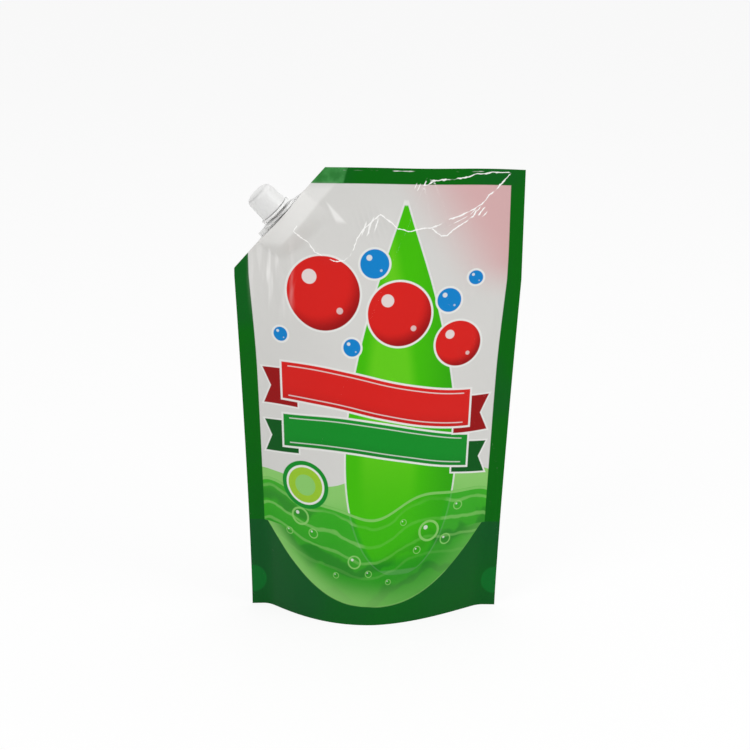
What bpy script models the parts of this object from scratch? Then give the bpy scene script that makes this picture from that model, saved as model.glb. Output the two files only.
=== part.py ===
"""Stand-up refill pouch for dish soap, filled and closed, with a spout welded into one corner.

Metres, +Z up. The front faces -Y and the spout's corner is at -X. The origin lies on the floor,
under the middle of the pouch.

The pouch is two printed film panels and a folded bottom gusset, heat sealed round their edges.
The filling spreads the gusset, so the foot opens to a boat shape and the base film sags to the
floor between two skirts. It is sealed and full, so film and filling are one solid.
"""

import math

import bmesh
import bpy
import numpy as np
from mathutils import Matrix, Vector

# Film pack
HEIGHT = 0.295  # standing height
TOP_HALF_WIDTH = 0.0895  # half the width of the flat upper part
FOOT_HALF_WIDTH = 0.080  # half the width at the floor, where the filling draws the sides in
FLARE_HEIGHT = 0.225  # height at which the sides reach the full width
FLARE_POWER = 1.3
SEAL = 0.010  # width of the top heat seal, and of the sides' at the foot's curved seal
WELD = 0.007  # width over which the side films hold together once the pouch is full
WELD_EASE = 0.008  # how far inside the welds the films curve apart
FILM_PAIR = 0.0006  # two films welded together
CORNER_ACROSS = 0.0563  # the cut corner's width
CORNER_DOWN = 0.0648  # the cut corner's height
BULGE = 0.0345  # from the middle plane to the front at the foot
FILL_SHIFT = 0.10  # how far the filling's ridge lies towards the spout's side
FILL_POWER = 2.0  # how the bulge fades towards the top seal
FILL_FADE = 1.3
LENS_POWER = 1.1  # how round the section is between the side seals
CORNER_RUN = 0.055  # distance over which the bulge grows from the cut corner's seal
FOOT_SWING = 0.0025  # how far the foot of the seam under the spout swings to the front
FOOT_SWING_HEIGHT = 0.120  # height at which that seam is back in the middle plane

# Bottom gusset
GUSSET_HEIGHT = 0.057  # height of the gusset's fold at the side seals
SKIRT_HEIGHT = 0.011  # height of the curved bottom seal at the middle
SKIRT_POWER = 2.4  # how steeply the curved seal climbs to the sides
BASE_FLAT = 0.55  # share of the base film's half width that lies flat

# Slack folds in the upper part, where the film isn't full
FOLD_HEIGHT = 0.0013
FOLD_REACH = 0.006
TOP_WAVE = 0.0016  # how far the top edge waves to and fro
WAVE_LENGTH = 0.085

# Spout: a canoe-shaped boat in the film, two flanges and a neck
SPOUT_ALONG = 0.0447  # from the cut corner's lower end to the spout's axis
SPOUT_LEAN = 4.0  # degrees that the spout leans up from square to the cut
BOAT_HALF_LENGTH = 0.018
BOAT_HALF_THICKNESS = 0.0065
BOAT_TIP = 0.0004  # half thickness of the boat's blunt ends
BOAT_DEPTH = 0.009
FLANGE_THICKNESS = 0.0012
LOWER_FLANGE_LENGTH = 0.025
LOWER_FLANGE_WIDTH = 0.0155
UPPER_FLANGE_RADIUS = 0.011
WAIST_HEIGHT = 0.0020  # the groove between the flanges, where a filling rail runs
WAIST_RADIUS = 0.0066
NECK_RADIUS = 0.0070
BORE_RADIUS = 0.0053
MOUTH_EDGE = 0.0004

# Cap and its sealing disc
CAP_RADIUS = 0.0096  # at the open rim
CAP_TAPER = 0.0005  # how much narrower the closed end is
CAP_LENGTH = 0.0160
CAP_ROUNDING = 0.0045
CAP_CROWN = 0.0004  # rise of the slightly domed end
CAP_BORE_RADIUS = 0.0079
CAP_END = 0.0017  # thickness of the closed end
RIM_EDGE = 0.0004
LINER_THICKNESS = 0.0010

# Clearances
FIT_GAP = 0.0003  # between pieces that touch
CAP_GAP = 0.0005  # between the cap's rim and the upper flange

# Smoothness
PANEL_COLUMNS = 26  # between the side seals
LOWER_ROWS = 30  # from the floor to the cut corner
UPPER_ROWS = 15  # from there to the top seal
SKIRT_ROWS = 3
ROUND_STEPS = 48

# Worked out from the sizes above
CORNER_FOOT = HEIGHT - CORNER_DOWN
CORNER_LENGTH = math.hypot(CORNER_ACROSS, CORNER_DOWN)
ALONG = np.array((CORNER_ACROSS, 0.0, CORNER_DOWN)) / CORNER_LENGTH
OUTWARD = np.array((-CORNER_DOWN, 0.0, CORNER_ACROSS)) / CORNER_LENGTH
POCKET_DEPTH = BOAT_DEPTH + FIT_GAP
CORNER_SEAL = POCKET_DEPTH + FILM_PAIR
SWELL = BOAT_HALF_THICKNESS + FIT_GAP + FILM_PAIR
SWELL_END = 0.004  # how far the swelling runs past the boat's ends
SWELL_FADE = 0.018  # how far it fades into the panel
LEAN = math.radians(SPOUT_LEAN)
LOWER_FLANGE_FOOT = FIT_GAP + LOWER_FLANGE_LENGTH / 2 * math.sin(LEAN)
UPPER_FLANGE_FOOT = LOWER_FLANGE_FOOT + FLANGE_THICKNESS + WAIST_HEIGHT
NECK_FOOT = UPPER_FLANGE_FOOT + FLANGE_THICKNESS
CAP_FOOT = NECK_FOOT + CAP_GAP
CAP_CEILING = CAP_LENGTH - CAP_END
LINER_FOOT = CAP_FOOT + CAP_CEILING - FIT_GAP - LINER_THICKNESS
NECK_TOP = LINER_FOOT - FIT_GAP
LINER_RADIUS = CAP_BORE_RADIUS - FIT_GAP

# The fold lines as (x, distance below the top edge), seen on the front
SPOUT_FOLD = [(-0.052, 0.036), (-0.045, 0.046), (-0.030, 0.057), (-0.020, 0.056), (-0.013, 0.042)]
MIDDLE_FOLD = [(-0.013, 0.042), (0.002, 0.028), (0.018, 0.038), (0.031, 0.0355), (0.039, 0.039)]
CORNER_FOLD = [(0.039, 0.039), (0.056, 0.027), (0.0655, 0.0205), (0.0725, 0.012)]
SIDE_FOLD = [(-0.070, 0.052), (-0.066, 0.066), (-0.067, 0.092)]
BACK_FOLD = [(0.050, 0.040), (0.018, 0.052), (-0.020, 0.036), (-0.058, 0.030)]


def clear_scene():
    """Empty the file of whatever objects it opened with."""
    for thing in list(bpy.data.objects):
        bpy.data.objects.remove(thing, do_unlink=True)


def plain_material(name, color, roughness, alpha=1.0):
    """A Principled material with one colour."""
    material = bpy.data.materials.new(name)
    material.use_nodes = True
    shader = material.node_tree.nodes["Principled BSDF"]
    shader.inputs["Base Color"].default_value = (*color, 1.0)
    shader.inputs["Roughness"].default_value = roughness
    shader.inputs["Metallic"].default_value = 0.0
    shader.inputs["Alpha"].default_value = alpha
    return material


def add_object(name, mesh, parent=None):
    """Link a named object, under the spout's axis if one is given."""
    thing = bpy.data.objects.new(name, mesh)
    bpy.context.collection.objects.link(thing)
    thing.parent = parent
    return thing


def cut_away(target, cutter, operation="DIFFERENCE"):
    """Put an exact Boolean on target and keep the cutter as a hidden guide."""
    modifier = target.modifiers.new(cutter.name, "BOOLEAN")
    modifier.operation = operation
    modifier.solver = "EXACT"
    modifier.object = cutter
    cutter.hide_render = True
    cutter.display_type = "WIRE"


def half_width(z):
    """Half of the pouch's width at height z: a power curve up to the flare height, then straight."""
    share = np.clip(z / FLARE_HEIGHT, 0.0, 1.0)
    return FOOT_HALF_WIDTH + (TOP_HALF_WIDTH - FOOT_HALF_WIDTH) * share**FLARE_POWER


def left_edge(z):
    """The left side's x at height z, with the cut corner as a straight line."""
    return -half_width(z) + np.maximum(z - CORNER_FOOT, 0.0) * CORNER_ACROSS / CORNER_DOWN


def corner_place(x, z):
    """Distances from the spout's axis along the cut corner, and inwards from its edge."""
    from_foot_x = x + half_width(CORNER_FOOT)
    from_foot_z = z - CORNER_FOOT
    along = from_foot_x * ALONG[0] + from_foot_z * ALONG[2] - SPOUT_ALONG
    inward = -(from_foot_x * OUTWARD[0] + from_foot_z * OUTWARD[2])
    return along, inward


def filled_depth(x, z):
    """The bulge of the filling: a height profile times a lens between the side welds, whose ridge
    lies a little off the middle, eased at the welds and faded at the cut corner."""
    rise = np.clip(z / (HEIGHT - SEAL), 0.0, 1.0)
    middle = BULGE * (1.0 - rise**FILL_POWER) ** FILL_FADE
    inner = half_width(z) - WELD
    even = np.clip(x / inner, -1.0, 1.0)
    across = even + FILL_SHIFT * (1.0 - even**2)
    lens = np.maximum(1.0 - across**2, 0.0) ** LENS_POWER
    inside = np.maximum(inner - np.abs(x), 0.0) / WELD_EASE
    ease = np.where(inside < 1.0, inside / 2, 1.0 - 0.5 / np.maximum(inside, 1.0))
    inward = corner_place(x, z)[1]
    corner = np.clip((inward - CORNER_SEAL) / CORNER_RUN, 0.0, 1.0)
    return middle * lens * ease * np.sin(corner * math.pi / 2) ** LENS_POWER


def boat_swelling(x, z):
    """How far the film stands out round the spout's boat: a parabola along the corner, which fades
    over a cosine step past the boat's inner end."""
    along, inward = corner_place(x, z)
    length = np.clip(1.0 - (along / (BOAT_HALF_LENGTH + SWELL_END)) ** 2, 0.0, 1.0)
    past = np.clip((inward - CORNER_SEAL) / SWELL_FADE, 0.0, 1.0)
    return SWELL * length * 0.5 * (1.0 + np.cos(past * math.pi))


def fold_ridge(x, z, line):
    """A straight-sided ridge along a line of folds, by the distance to its nearest stretch."""
    nearest = np.full(np.shape(x), np.inf)
    for (x_a, down_a), (x_b, down_b) in zip(line, line[1:]):
        start = np.array((x_a, HEIGHT - down_a))
        run = np.array((x_b, HEIGHT - down_b)) - start
        share = ((x - start[0]) * run[0] + (z - start[1]) * run[1]) / run.dot(run)
        share = np.clip(share, 0.0, 1.0)
        gap = np.hypot(x - start[0] - share * run[0], z - start[1] - share * run[1])
        nearest = np.minimum(nearest, gap)
    return FOLD_HEIGHT * np.clip(1.0 - nearest / FOLD_REACH, 0.0, 1.0)


def panel_depth(x, z, folds):
    """From the middle plane to a panel's outer face: the bulge and the boat's swelling joined by a
    smooth maximum, with the folds on top and half a welded film pair under all."""
    bulge = filled_depth(x, z)
    swelling = boat_swelling(x, z)
    depth = (bulge**3 + swelling**3) ** (1 / 3)
    loose = np.clip(bulge / FOLD_HEIGHT, 0.0, 1.0)
    for line in folds:
        depth = depth + loose * fold_ridge(x, z, line)
    return depth + FILM_PAIR / 2


def middle_plane(x, z):
    """The y halfway between the panels: a wave that grows towards the top edge, and the foot's
    swing on the spout's side, a square of the distance both ways."""
    share = np.clip((z - CORNER_FOOT) / CORNER_DOWN, 0.0, 1.0)
    calm = np.clip((x + half_width(z)) / (2 * CORNER_ACROSS) - 0.5, 0.0, 1.0)
    wave = TOP_WAVE * share**2 * calm * np.sin(2 * math.pi * x / WAVE_LENGTH)
    low = np.clip(1.0 - z / FOOT_SWING_HEIGHT, 0.0, 1.0)
    left = np.clip(-x / FOOT_HALF_WIDTH, 0.0, 1.0)
    return -wave - FOOT_SWING * (low * left) ** 2


def seam_height(x):
    """The height of the curved bottom seal: a power curve from the skirt to the gusset's fold."""
    share = np.clip(np.abs(x) / (FOOT_HALF_WIDTH - SEAL), 0.0, 1.0)
    return SKIRT_HEIGHT + (GUSSET_HEIGHT - SKIRT_HEIGHT) * share**SKIRT_POWER


def base_height(seam, depth):
    """The height of the gusset's fold where the filling has pushed it down: the film hangs by its
    own length from the seam, or lies on the floor."""
    film = GUSSET_HEIGHT - seam
    drop = np.sqrt(np.maximum(film**2 - depth**2, 0.0))
    return np.maximum(seam - drop, 0.0)


def panel_heights():
    """The heights of a panel's rows."""
    lower = np.linspace(0.0, CORNER_FOOT, LOWER_ROWS + 1)
    upper = np.linspace(CORNER_FOOT, HEIGHT - SEAL, UPPER_ROWS + 1)
    return np.concatenate((lower, upper[1:], (HEIGHT - SEAL / 2, HEIGHT)))


def column_shares():
    """How far each column lies through the left seal, the panel between the seals and the right
    seal. The columns between the seals crowd towards them."""
    even = np.linspace(0.0, 1.0, PANEL_COLUMNS + 1)
    between = 0.35 * even + 0.325 * (1.0 - np.cos(even * math.pi))
    left = np.concatenate(((0.0, 0.5), np.ones(len(between) + 2)))
    panel = np.concatenate(((0.0, 0.0), between, (1.0, 1.0)))
    right = np.concatenate((np.zeros(len(between) + 2), (0.5, 1.0)))
    return left, panel, right


def grid_x(z):
    """The x of a grid's points from their heights, with the columns last. The outer columns follow
    the side welds and the cut corner's seal, which is met at a slant."""
    left_share, panel_share, right_share = column_shares()
    slant = CORNER_SEAL / -OUTWARD[0]
    run = np.clip((z - CORNER_FOOT) / SEAL + 0.5, 0.0, 1.0)
    left_weld = WELD + (slant - WELD) * run
    inner_left = left_edge(z) + left_weld
    inner_right = half_width(z) - WELD
    panel = (inner_right - inner_left) * panel_share
    return left_edge(z) + left_weld * left_share + panel + WELD * right_share


def add_sheet(bm, points):
    """Add a grid of points, rows by columns, as a sheet of quads."""
    rows, columns = points.shape[:2]
    corners = [[bm.verts.new(point) for point in row] for row in points]
    for row in range(rows - 1):
        for column in range(columns - 1):
            bm.faces.new(
                (
                    corners[row][column],
                    corners[row][column + 1],
                    corners[row + 1][column + 1],
                    corners[row + 1][column],
                )
            )


def pouch_mesh():
    """The closed pouch: two panels, the welded edges, two skirts and the base film."""
    z = np.repeat(panel_heights()[:, None], PANEL_COLUMNS + 5, axis=1)
    x = grid_x(z)
    middle = middle_plane(x, z)
    front_folds = (SPOUT_FOLD, MIDDLE_FOLD, CORNER_FOLD, SIDE_FOLD)
    front = np.stack((x, middle - panel_depth(x, z, front_folds), z), axis=-1)
    back = np.stack((x, middle + panel_depth(x, z, (BACK_FOLD,)), z), axis=-1)
    spine = np.stack((x, middle, z), axis=-1)

    foot_x = x[0]
    seam = seam_height(foot_x)
    skirt_share = np.linspace(0.0, 1.0, SKIRT_ROWS + 1)[:, None]
    skirt_z = seam * skirt_share
    skirt_x = grid_x(skirt_z)
    gap = panel_depth(skirt_x, skirt_z, ()) - FILM_PAIR / 2
    skirt_y = gap**2 / (gap + FILM_PAIR / 2)  # a film's thickness in, less where the films close
    skirt_middle = middle_plane(skirt_x, skirt_z)

    wide = skirt_y[-1]
    fold = base_height(seam, wide)
    steps = np.array((1.0, 0.85, 0.7, BASE_FLAT, 0.0, -BASE_FLAT, -0.7, -0.85, -1.0))
    lift = (np.maximum(np.abs(steps) - BASE_FLAT, 0.0) / (1.0 - BASE_FLAT)) ** 2
    base = np.stack(
        (
            np.broadcast_to(skirt_x[-1], (len(steps), len(foot_x))),
            skirt_middle[-1] - steps[:, None] * wide,
            fold + (seam - fold) * lift[:, None],
        ),
        axis=-1,
    )

    between_seals = slice(2, -2)
    bm = bmesh.new()
    for panel, side in ((front, -1.0), (back, 1.0)):
        skirt = np.stack((skirt_x, skirt_middle + side * skirt_y, skirt_z), axis=-1)
        add_sheet(bm, panel)
        add_sheet(bm, skirt[:, between_seals])
        add_sheet(bm, np.stack((panel[0], skirt[0])))
        add_sheet(bm, np.stack((panel[-1], spine[-1])))
        add_sheet(bm, np.stack((panel[:, 0], spine[:, 0])))
        add_sheet(bm, np.stack((panel[:, -1], spine[:, -1])))
    add_sheet(bm, base[:, between_seals])
    bmesh.ops.remove_doubles(bm, verts=bm.verts, dist=1e-6)
    bmesh.ops.dissolve_degenerate(bm, edges=bm.edges, dist=1e-6)
    bmesh.ops.recalc_face_normals(bm, faces=bm.faces)
    mesh = bpy.data.meshes.new("pouch")
    bm.to_mesh(mesh)
    bm.free()
    return mesh


def boat_outline(spare):
    """Half thickness over the boat's length, as a closed outline grown by spare."""
    side = np.linspace(-1.0, 1.0, 17)
    thick = BOAT_TIP + (BOAT_HALF_THICKNESS - BOAT_TIP) * (1.0 - side**2)
    long = side * (BOAT_HALF_LENGTH + spare)
    upper = [(along, across + spare) for along, across in zip(long, thick)]
    return upper + [(along, -across) for along, across in reversed(upper)]


def oval_outline(length, width):
    """A flange's outline: two half rounds of the given width, joined by straight sides."""
    radius = width / 2
    turn = np.linspace(-math.pi / 2, math.pi / 2, 17)
    right = [(length / 2 - radius + radius * math.cos(t), radius * math.sin(t)) for t in turn]
    return right + [(-along, -across) for along, across in right]


def prism(name, outline, low, high, parent):
    """A straight prism along the spout's axis."""
    bm = bmesh.new()
    foot = [bm.verts.new((along, across, low)) for along, across in outline]
    bottom = bm.faces.new(foot)
    made = bmesh.ops.extrude_face_region(bm, geom=[bottom])["geom"]
    top = [item for item in made if isinstance(item, bmesh.types.BMVert)]
    bmesh.ops.translate(bm, verts=top, vec=(0.0, 0.0, high - low))
    bmesh.ops.recalc_face_normals(bm, faces=bm.faces)
    mesh = bpy.data.meshes.new(name)
    bm.to_mesh(mesh)
    bm.free()
    return add_object(name, mesh, parent)


def turned(name, profile, parent):
    """A turned piece from a profile of (radius, height) that starts and ends on its axis."""
    bm = bmesh.new()
    ring = [bm.verts.new((radius, 0.0, height)) for radius, height in profile]
    edges = [bm.edges.new(pair) for pair in zip(ring, ring[1:])]
    bmesh.ops.spin(
        bm,
        geom=ring + edges,
        cent=(0.0, 0.0, 0.0),
        axis=(0.0, 0.0, 1.0),
        angle=2 * math.pi,
        steps=ROUND_STEPS,
    )
    bmesh.ops.remove_doubles(bm, verts=bm.verts, dist=1e-6)
    bmesh.ops.recalc_face_normals(bm, faces=bm.faces)
    mesh = bpy.data.meshes.new(name)
    bm.to_mesh(mesh)
    bm.free()
    mesh.shade_smooth()
    mesh.set_sharp_from_angle(angle=math.radians(35))
    return add_object(name, mesh, parent)


def arc(centre, radius, start, end, steps):
    """Points on an arc of a profile, with angles in degrees from the radius axis."""
    turn = np.radians(np.linspace(start, end, steps + 1))
    return [(centre[0] + radius * math.cos(t), centre[1] + radius * math.sin(t)) for t in turn]


def spout_axis():
    """An empty on the cut corner, with its Z out along the spout and its X along the corner."""
    foot = Vector((-half_width(CORNER_FOOT), 0.0, CORNER_FOOT))
    along, outward = Vector(ALONG), Vector(OUTWARD)
    square = Matrix((along, outward.cross(along), outward)).transposed()
    turn = square @ Matrix.Rotation(LEAN, 3, "Y")
    axis = bpy.data.objects.new("spout_axis", None)
    bpy.context.collection.objects.link(axis)
    axis.matrix_world = Matrix.Translation(foot + along * SPOUT_ALONG) @ turn.to_4x4()
    return axis


def build_pouch(axis):
    """The sealed pouch with the pocket that the spout's boat is welded into."""
    pouch = add_object("pouch", pouch_mesh())
    pouch.data.materials.append(plain_material("printed_film", (0.02, 0.30, 0.03), 0.22))
    pocket = prism("boat_pocket", boat_outline(FIT_GAP), -POCKET_DEPTH, SEAL, axis)
    cut_away(pouch, pocket)
    return pouch


def build_spout(axis):
    """The spout: a boat, an oval and a round flange with a groove between, and an open neck."""
    profile = [
        (0.0, LOWER_FLANGE_FOOT + FLANGE_THICKNESS / 4),
        (WAIST_RADIUS, LOWER_FLANGE_FOOT + FLANGE_THICKNESS / 4),
        (WAIST_RADIUS, UPPER_FLANGE_FOOT),
        (UPPER_FLANGE_RADIUS, UPPER_FLANGE_FOOT),
        (UPPER_FLANGE_RADIUS, NECK_FOOT),
        (NECK_RADIUS, NECK_FOOT),
        (NECK_RADIUS, NECK_TOP - MOUTH_EDGE),
        (NECK_RADIUS - MOUTH_EDGE, NECK_TOP),
        (0.0, NECK_TOP),
    ]
    spout = turned("spout", profile, axis)
    spout.data.materials.append(plain_material("natural_plastic", (0.80, 0.80, 0.78), 0.35))
    flange_low, flange_high = LOWER_FLANGE_FOOT, LOWER_FLANGE_FOOT + FLANGE_THICKNESS
    boat = prism("boat", boat_outline(0.0), -BOAT_DEPTH, (flange_low + flange_high) / 2, axis)
    flange_outline = oval_outline(LOWER_FLANGE_LENGTH, LOWER_FLANGE_WIDTH)
    flange = prism("lower_flange", flange_outline, flange_low, flange_high, axis)
    bore = turned(
        "bore",
        [
            (0.0, -BOAT_DEPTH - SEAL),
            (BORE_RADIUS, -BOAT_DEPTH - SEAL),
            (BORE_RADIUS, NECK_TOP + SEAL),
            (0.0, NECK_TOP + SEAL),
        ],
        axis,
    )
    cut_away(spout, boat, "UNION")
    cut_away(spout, flange, "UNION")
    cut_away(spout, bore)
    return spout


def build_cap(axis):
    """The screw cap: a slightly tapered cup with a rounded, faintly domed end."""
    top_radius = CAP_RADIUS - CAP_TAPER
    corner = (top_radius - CAP_ROUNDING, CAP_LENGTH - CAP_CROWN - CAP_ROUNDING)
    outside = arc(corner, CAP_ROUNDING, 0.0, 85.0, 8)
    profile = [
        (0.0, CAP_CEILING),
        (CAP_BORE_RADIUS - RIM_EDGE, CAP_CEILING),
        (CAP_BORE_RADIUS, CAP_CEILING - RIM_EDGE),
        (CAP_BORE_RADIUS, RIM_EDGE),
        (CAP_BORE_RADIUS + RIM_EDGE, 0.0),
        (CAP_RADIUS - RIM_EDGE, 0.0),
        (CAP_RADIUS, RIM_EDGE),
        *outside,
        (0.0, CAP_LENGTH),
    ]
    cap = turned("cap", profile, axis)
    cap.location = (0.0, 0.0, CAP_FOOT)
    cap.data.materials.append(plain_material("white_plastic", (0.86, 0.86, 0.85), 0.3))
    return cap


def build_liner(axis):
    """The foam disc that the cap presses on the spout's mouth."""
    profile = [
        (0.0, 0.0),
        (LINER_RADIUS, 0.0),
        (LINER_RADIUS, LINER_THICKNESS),
        (0.0, LINER_THICKNESS),
    ]
    liner = turned("cap_liner", profile, axis)
    liner.location = (0.0, 0.0, LINER_FOOT)
    liner.data.materials.append(plain_material("foam", (0.78, 0.78, 0.74), 0.8))
    return liner


clear_scene()
spout_line = spout_axis()
build_pouch(spout_line)
build_spout(spout_line)
build_cap(spout_line)
build_liner(spout_line)
bpy.context.view_layer.update()
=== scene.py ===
"""The refill pouch's looks: glossy printed film with its welds, folds and gusset, a milky spout and
a white screw cap, on a pale floor under soft studio lights. Metres, +Z up, the front faces -Y."""

import math

import bmesh
import bpy
import numpy as np
from mathutils import Matrix, Vector


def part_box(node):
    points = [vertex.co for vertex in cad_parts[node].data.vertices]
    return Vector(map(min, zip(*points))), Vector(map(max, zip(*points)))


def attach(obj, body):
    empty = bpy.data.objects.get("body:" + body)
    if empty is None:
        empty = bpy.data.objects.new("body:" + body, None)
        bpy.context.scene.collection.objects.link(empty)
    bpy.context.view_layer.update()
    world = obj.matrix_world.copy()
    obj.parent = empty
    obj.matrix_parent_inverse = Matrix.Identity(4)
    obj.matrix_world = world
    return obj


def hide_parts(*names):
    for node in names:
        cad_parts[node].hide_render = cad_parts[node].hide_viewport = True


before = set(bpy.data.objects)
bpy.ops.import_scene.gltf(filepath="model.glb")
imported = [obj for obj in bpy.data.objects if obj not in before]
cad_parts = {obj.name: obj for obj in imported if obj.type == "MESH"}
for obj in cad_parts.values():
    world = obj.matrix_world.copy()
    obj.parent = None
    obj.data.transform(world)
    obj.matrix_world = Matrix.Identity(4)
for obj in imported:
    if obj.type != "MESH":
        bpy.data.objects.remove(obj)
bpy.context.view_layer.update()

MILLIMETRES = 1000.0  # in a metre

# The film pack, whose outer sizes come from the frame
POUCH_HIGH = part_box("pouch")[1]
HEIGHT = POUCH_HIGH[2]
TOP_HALF_WIDTH = POUCH_HIGH[0]
FOOT_HALF_WIDTH = 0.080
FLARE_HEIGHT = 0.225
FLARE_POWER = 1.3
SEAL = 0.010
WELD = 0.007
WELD_EASE = 0.008
FILM_PAIR = 0.0006
CORNER_ACROSS = 0.0563
CORNER_DOWN = 0.0648
CORNER_FOOT = HEIGHT - CORNER_DOWN
CORNER_LENGTH = math.hypot(CORNER_ACROSS, CORNER_DOWN)
ALONG = np.array((CORNER_ACROSS, 0.0, CORNER_DOWN)) / CORNER_LENGTH
OUTWARD = np.array((-CORNER_DOWN, 0.0, CORNER_ACROSS)) / CORNER_LENGTH
BULGE = 0.0345
FILL_SHIFT = 0.10
FILL_POWER = 2.0
FILL_FADE = 1.3
LENS_POWER = 1.1
CORNER_RUN = 0.055
FOOT_SWING = 0.0025
FOOT_SWING_HEIGHT = 0.120
GUSSET_HEIGHT = 0.057
SKIRT_HEIGHT = 0.011
SKIRT_POWER = 2.4
BASE_FLAT = 0.55
TOP_WAVE = 0.0016
WAVE_LENGTH = 0.085

# The spout, as the frame has it
SPOUT_ALONG = 0.0447
LEAN = math.radians(4.0)
BOAT_HALF_LENGTH = 0.018
BOAT_HALF_THICKNESS = 0.0065
CORNER_SEAL = 0.0099
SWELL = BOAT_HALF_THICKNESS + 0.0009
SWELL_END = 0.004
SWELL_FADE = 0.018
NECK_RADIUS = 0.0070
NECK_FOOT = 0.00557

# The cap
CAP_FOOT = 0.00607
CAP_RADIUS = 0.0096
CAP_TAPER = 0.0005
CAP_LENGTH = 0.0160
CAP_ROUNDING = 0.0045
CAP_CROWN = 0.0004
CAP_BORE_RADIUS = 0.0079
CAP_END = 0.0017
RIM_EDGE = 0.0004

# The screw thread on the neck and inside the cap
THREAD_PITCH = 0.004
THREAD_DEPTH = 0.0006
THREAD_FOOT = 0.0016  # the ridge's width at the wall
THREAD_START = 0.0025  # from the neck's foot to the thread's first turn

# Fineness of the film's grid
COLUMNS = 150
SEAL_COLUMNS = 6
LOWER_ROWS = 82
UPPER_ROWS = 178
WELD_ROWS = 8  # in the top weld
SKIRT_ROWS = 8
BASE_ROWS = 40
FINE_FROM = 0.185  # height above which the rows are close, for the folds

# Fineness of the turned pieces
CAP_STEPS = 128
THREAD_STEPS = 96  # in one turn of the thread
THREAD_SECTION = 16

# The studio
WORLD_LIGHT = 0.45
FLOOR_REACH = 40.0
FLOOR_WHITE = 0.88  # the share of plain white in the floor's look

# The camera's place, from the photograph's outline of the pouch
CAMERA_ELEVATION = 19.84
CAMERA_DISTANCE = 1.227
CAMERA_LENS = 92.8
SENSOR_WIDTH = 36.0
CAMERA_AIM = (-0.001, 0.0, 0.1604)
CAMERA_ROLL = 0.745


def linear(red, green, blue):
    """An sRGB colour of 0 to 255 as linear light."""
    parts = [part / 255 for part in (red, green, blue)]
    return tuple(p / 12.92 if p <= 0.04045 else ((p + 0.055) / 1.055) ** 2.4 for p in parts)


class Field:
    """A number worked out at every point of a surface by Math nodes."""

    def __init__(self, tree, socket):
        self.tree, self.socket = tree, socket

    def _math(self, operation, *others):
        node = self.tree.nodes.new("ShaderNodeMath")
        node.operation = operation
        self.tree.links.new(self.socket, node.inputs[0])
        for place, other in enumerate(others, 1):
            if isinstance(other, Field):
                self.tree.links.new(other.socket, node.inputs[place])
            else:
                node.inputs[place].default_value = other
        return Field(self.tree, node.outputs[0])

    def __add__(self, other):
        return self._math("ADD", other)

    def __sub__(self, other):
        return self._math("SUBTRACT", other)

    def __mul__(self, other):
        return self._math("MULTIPLY", other)

    def __truediv__(self, other):
        return self._math("DIVIDE", other)

    def __neg__(self):
        return self._math("MULTIPLY", -1.0)

    def __pow__(self, other):
        return self._math("POWER", other)

    def least(self, other):
        return self._math("MINIMUM", other)

    def most(self, other):
        return self._math("MAXIMUM", other)

    def size(self):
        return self._math("ABSOLUTE")

    def wave(self):
        return self._math("SINE")

    def root(self):
        return self._math("SQRT")

    def step(self, low, high):
        """0 below low and 1 above high, with a smooth rise between."""
        node = self.tree.nodes.new("ShaderNodeMapRange")
        node.interpolation_type = "SMOOTHSTEP"
        self.tree.links.new(self.socket, node.inputs["Value"])
        node.inputs["From Min"].default_value = low
        node.inputs["From Max"].default_value = high
        return Field(self.tree, node.outputs["Result"])

    def ink(self):
        """1 inside a printed shape, from a depth in millimetres inside its edge."""
        return self.step(-PRINT_EDGE, PRINT_EDGE)

    def hump(self, centre, reach):
        """1 at centre, falling away to 0 within reach on both sides."""
        return (self - centre).size().step(0.0, reach) * -1.0 + 1.0


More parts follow.
